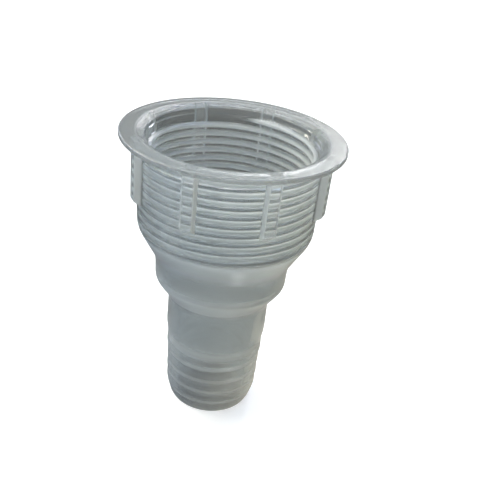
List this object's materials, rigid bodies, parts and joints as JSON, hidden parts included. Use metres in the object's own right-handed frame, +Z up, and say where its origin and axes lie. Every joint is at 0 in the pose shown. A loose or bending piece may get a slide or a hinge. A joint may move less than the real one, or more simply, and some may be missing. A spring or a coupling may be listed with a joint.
{
  "type": "basin waste coupling",
  "caption": "Translucent moulded plastic coupling: flanged cup with a female pipe thread and grip lugs, stepping down through a cone and barrel to a ridged hose spigot.",
  "frame": {"origin": "on the axis, at the open lower end of the hose spigot", "axes": "+Z up along the axis towards the flange and the threaded mouth; a grip lug lies on the +X side"},
  "size_m": [0.055, 0.055, 0.0778],
  "materials": {
    "clear_plastic": "gloss"
  },
  "bodies": {
    "root": {"waste_coupling": "clear_plastic"}
  },
  "joints": []
}
